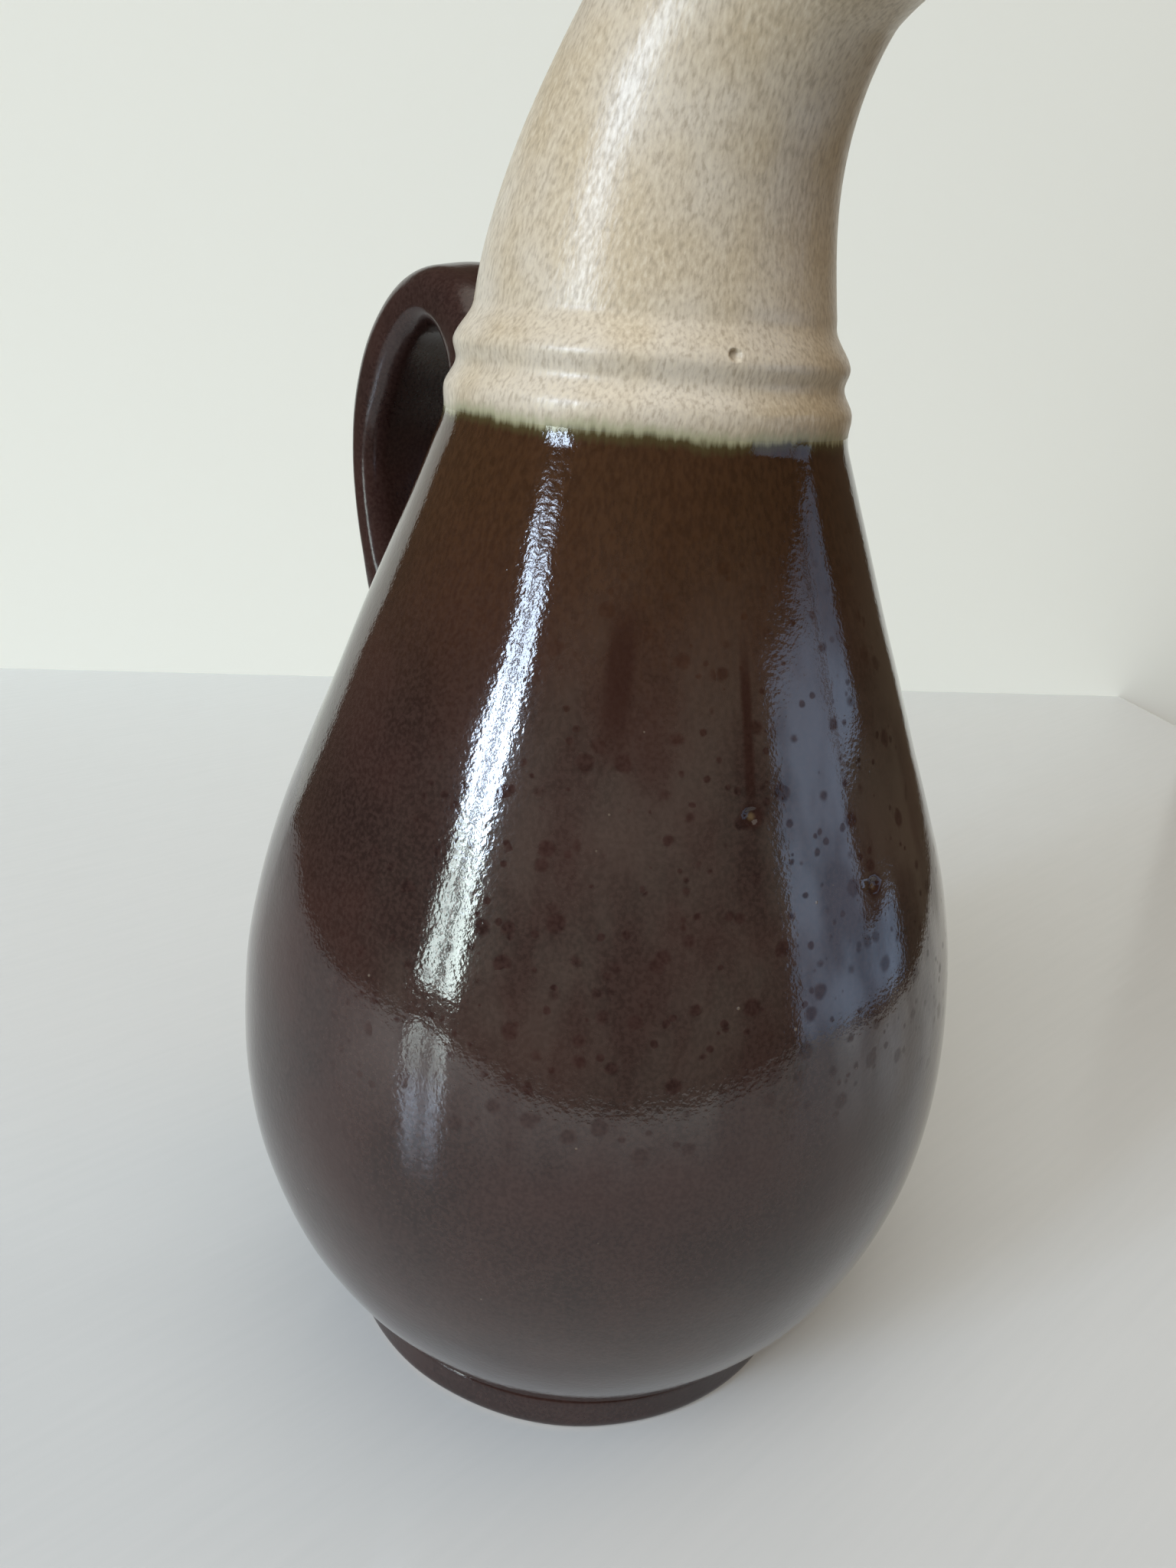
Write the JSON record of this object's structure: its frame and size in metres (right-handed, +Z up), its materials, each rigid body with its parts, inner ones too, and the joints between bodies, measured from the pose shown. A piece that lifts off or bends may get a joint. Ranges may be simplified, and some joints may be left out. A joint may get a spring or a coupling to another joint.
{
  "type": "stoneware jug",
  "caption": "Pear-shaped glazed stoneware jug with a ridged collar, a forward-bent pouring neck and a strap handle.",
  "frame": {"origin": "centre of the foot ring's bearing face, on the surface that the jug stands on", "axes": "+Z up along the pot's axis, +X towards the mouth, -X towards the handle"},
  "size_m": [0.15, 0.144, 0.2915],
  "materials": {
    "brown_glaze": "glossy dark brown glaze with oil spots",
    "beige_glaze": "satin speckled beige glaze"
  },
  "bodies": {
    "root": {"foot_ring": "brown_glaze", "pot": "brown_glaze", "collar": "beige_glaze", "neck": "beige_glaze", "handle_strap": "brown_glaze", "handle_upper_root": "brown_glaze", "handle_lower_root": "brown_glaze"}
  },
  "joints": []
}
